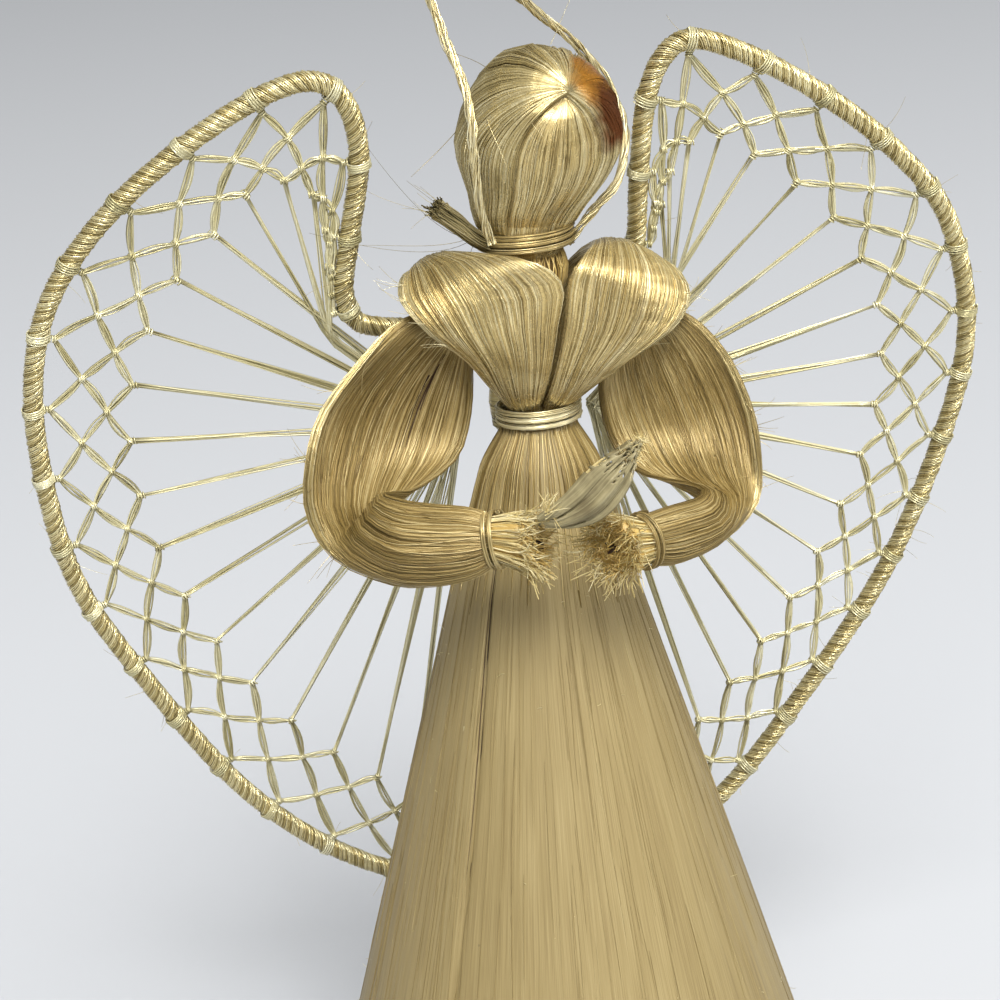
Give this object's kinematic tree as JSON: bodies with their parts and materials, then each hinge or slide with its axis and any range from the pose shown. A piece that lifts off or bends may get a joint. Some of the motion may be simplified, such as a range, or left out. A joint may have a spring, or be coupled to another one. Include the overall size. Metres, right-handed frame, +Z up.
{
  "type": "corn husk angel",
  "caption": "Standing angel ornament of bound plant fibre, with a hollow cone skirt, two netted wings on one wrapped wire and a hanging loop.",
  "frame": {"origin": "centre of the skirt's hem on the surface it stands on", "axes": "+Z up through the skirt's axis to the head; -Y the front, where the hands are; +X to the right of someone who looks at the front, and the nodes' left and right are that person's too"},
  "size_m": [0.1463, 0.086, 0.2064],
  "materials": {
    "skirt_sheet": "matt plant fibre sheet with a vertical grain",
    "silky_fibre": "combed plant fibre with a silky gloss",
    "wound_fibre": "pale twisted plant fibre",
    "dry_husk": "thin dry husk, matt"
  },
  "bodies": {
    "root": {"skirt": "skirt_sheet", "waist_tie": "wound_fibre", "bodice_left": "silky_fibre", "bodice_right": "silky_fibre", "arm_left": "silky_fibre", "arm_right": "silky_fibre", "wrist_tie_left": "wound_fibre", "wrist_tie_right": "wound_fibre", "held_husk": "dry_husk", "head": "silky_fibre", "hair": "silky_fibre", "neck_tie": "wound_fibre", "neck_knot": "wound_fibre", "hanging_loop": "wound_fibre", "wing_frame": "wound_fibre", "wing_net_left": "wound_fibre", "wing_net_right": "wound_fibre", "wing_binding": "wound_fibre"}
  },
  "joints": []
}
